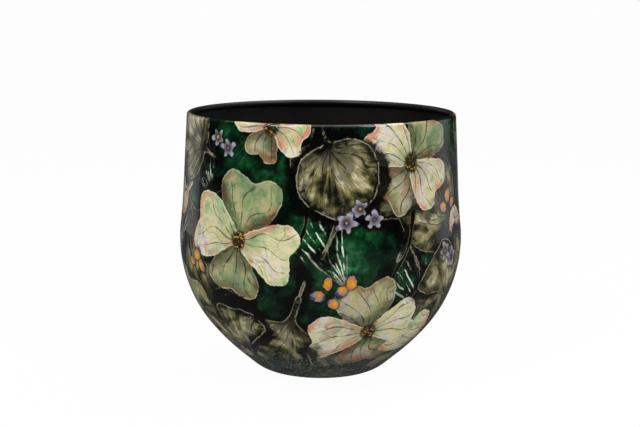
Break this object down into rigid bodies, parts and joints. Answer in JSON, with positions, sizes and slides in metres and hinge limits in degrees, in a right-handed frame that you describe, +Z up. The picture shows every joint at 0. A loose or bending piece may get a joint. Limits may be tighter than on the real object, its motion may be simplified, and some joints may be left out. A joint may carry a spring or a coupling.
{
  "type": "cachepot",
  "caption": "Round-bottomed sheet-steel cachepot with a slightly tapered wall, a wired rolled rim, a printed lacquered outside and a black inside.",
  "frame": {"origin": "on the floor, under the middle of the pot", "axes": "+Z up along the pot's axis, -Y towards the side that the picture shows, +X to its right"},
  "size_m": [0.24, 0.24, 0.2229],
  "materials": {
    "painted_sheet": "thin sheet steel, outside printed with large plants on deep green under clear gloss lacquer, inside and rim satin black",
    "wire": "plain drawn steel wire",
    "pad": "matt black foamed rubber"
  },
  "bodies": {
    "root": {"bowl": "painted_sheet", "wall_band": "painted_sheet", "rim_wire": "wire", "foot_pad_1": "pad", "foot_pad_2": "pad", "foot_pad_3": "pad", "foot_pad_4": "pad"}
  },
  "joints": []
}
